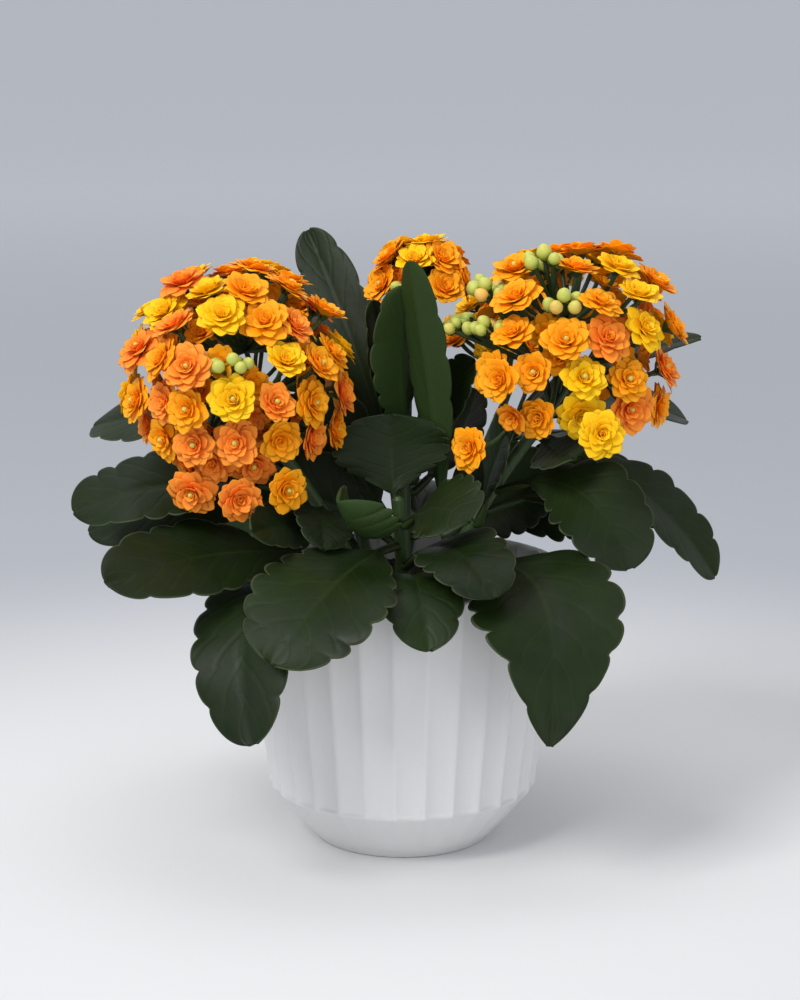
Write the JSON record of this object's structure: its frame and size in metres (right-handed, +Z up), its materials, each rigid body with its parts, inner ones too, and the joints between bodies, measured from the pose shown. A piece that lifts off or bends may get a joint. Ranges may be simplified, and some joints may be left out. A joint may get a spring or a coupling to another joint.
{
  "type": "potted kalanchoe",
  "caption": "Flowering succulent with lobed dark leaves and dense domes of double blooms, growing in a fluted round cover pot that stands on its flat foot.",
  "frame": {"origin": "centre of the pot's flat foot, on the surface it stands on", "axes": "+Z up, -Y the front of the plant, +X to the right seen from the front"},
  "size_m": [0.2743, 0.2311, 0.2571],
  "materials": {
    "pot": "matte white",
    "soil": "crumbly potting soil",
    "stem": "smooth green",
    "leaf": "dark green, waxy",
    "bloom": "orange, yellow and peach petals"
  },
  "bodies": {
    "root": {"pot": "pot", "soil": "soil", "stem_left": "stem", "stem_right": "stem", "stem_centre": "stem", "stem_back_left": "stem", "stem_back_right": "stem", "stem_front": "stem", "leaf_01": "leaf", "leaf_02": "leaf", "leaf_03": "leaf", "leaf_04": "leaf", "leaf_05": "leaf", "leaf_06": "leaf", "leaf_07": "leaf", "leaf_08": "leaf", "leaf_09": "leaf", "leaf_10": "leaf", "leaf_11": "leaf", "leaf_12": "leaf", "leaf_13": "leaf", "leaf_14": "leaf", "leaf_15": "leaf", "leaf_16": "leaf", "leaf_17": "leaf", "leaf_18": "leaf", "leaf_19": "leaf", "leaf_20": "leaf", "leaf_21": "leaf", "leaf_22": "leaf", "leaf_23": "leaf", "leaf_24": "leaf", "leaf_25": "leaf", "leaf_26": "leaf", "leaf_27": "leaf", "leaf_28": "leaf", "leaf_29": "leaf", "leaf_30": "leaf", "leaf_31": "leaf", "leaf_32": "leaf", "leaf_33": "leaf", "leaf_34": "leaf", "leaf_35": "leaf", "leaf_36": "leaf", "leaf_37": "leaf", "leaf_38": "leaf", "leaf_39": "leaf", "head_left": "bloom", "head_right": "bloom", "head_centre": "bloom", "head_back_left": "bloom", "head_back_right": "bloom"}
  },
  "joints": []
}
